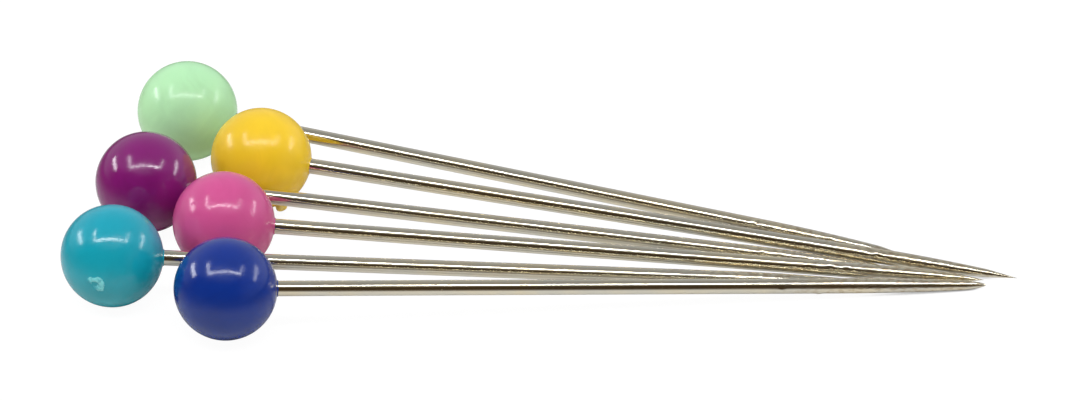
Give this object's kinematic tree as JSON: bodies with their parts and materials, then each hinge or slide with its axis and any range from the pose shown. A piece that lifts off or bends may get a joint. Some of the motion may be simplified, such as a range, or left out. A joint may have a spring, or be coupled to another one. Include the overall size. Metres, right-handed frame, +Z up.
{
  "type": "ball-head sewing pins",
  "caption": "Loose straight sewing pins with round coloured plastic heads, lying side by side in a fan with their points together.",
  "frame": {"origin": "middle of the fan's plan outline, on the surface that the pins lie on", "axes": "+X runs the fan's length, from the balls towards the points; +Z is up; +Y is towards the green pin's side, the blue pin's side being -Y"},
  "size_m": [0.037, 0.0178, 0.004],
  "materials": {
    "green_plastic": "mint green glossy moulded plastic",
    "yellow_plastic": "warm yellow glossy moulded plastic",
    "purple_plastic": "red-purple glossy moulded plastic",
    "pink_plastic": "rose pink glossy moulded plastic",
    "teal_plastic": "teal glossy moulded plastic",
    "blue_plastic": "dark blue glossy moulded plastic",
    "plated_wire": "bright nickel plate over drawn steel wire, finely pitted towards the ground point"
  },
  "bodies": {
    "green_pin": {"green_head": "green_plastic", "green_wire": "plated_wire"},
    "yellow_pin": {"yellow_head": "yellow_plastic", "yellow_wire": "plated_wire"},
    "purple_pin": {"purple_head": "purple_plastic", "purple_wire": "plated_wire"},
    "pink_pin": {"pink_head": "pink_plastic", "pink_wire": "plated_wire"},
    "teal_pin": {"teal_head": "teal_plastic", "teal_wire": "plated_wire"},
    "blue_pin": {"blue_head": "blue_plastic", "blue_wire": "plated_wire"}
  },
  "joints": [
    {"name": "lift_green", "type": "slide", "parent": "pink_pin", "child": "green_pin", "axis": [0, 0, 1], "range_m": [0, 0.012]},
    {"name": "lift_yellow", "type": "slide", "parent": "pink_pin", "child": "yellow_pin", "axis": [0, 0, 1], "range_m": [0, 0.012]},
    {"name": "lift_purple", "type": "slide", "parent": "pink_pin", "child": "purple_pin", "axis": [0, 0, 1], "range_m": [0, 0.012]},
    {"name": "lift_teal", "type": "slide", "parent": "pink_pin", "child": "teal_pin", "axis": [0, 0, 1], "range_m": [0, 0.012]},
    {"name": "lift_blue", "type": "slide", "parent": "pink_pin", "child": "blue_pin", "axis": [0, 0, 1], "range_m": [0, 0.012]}
  ]
}
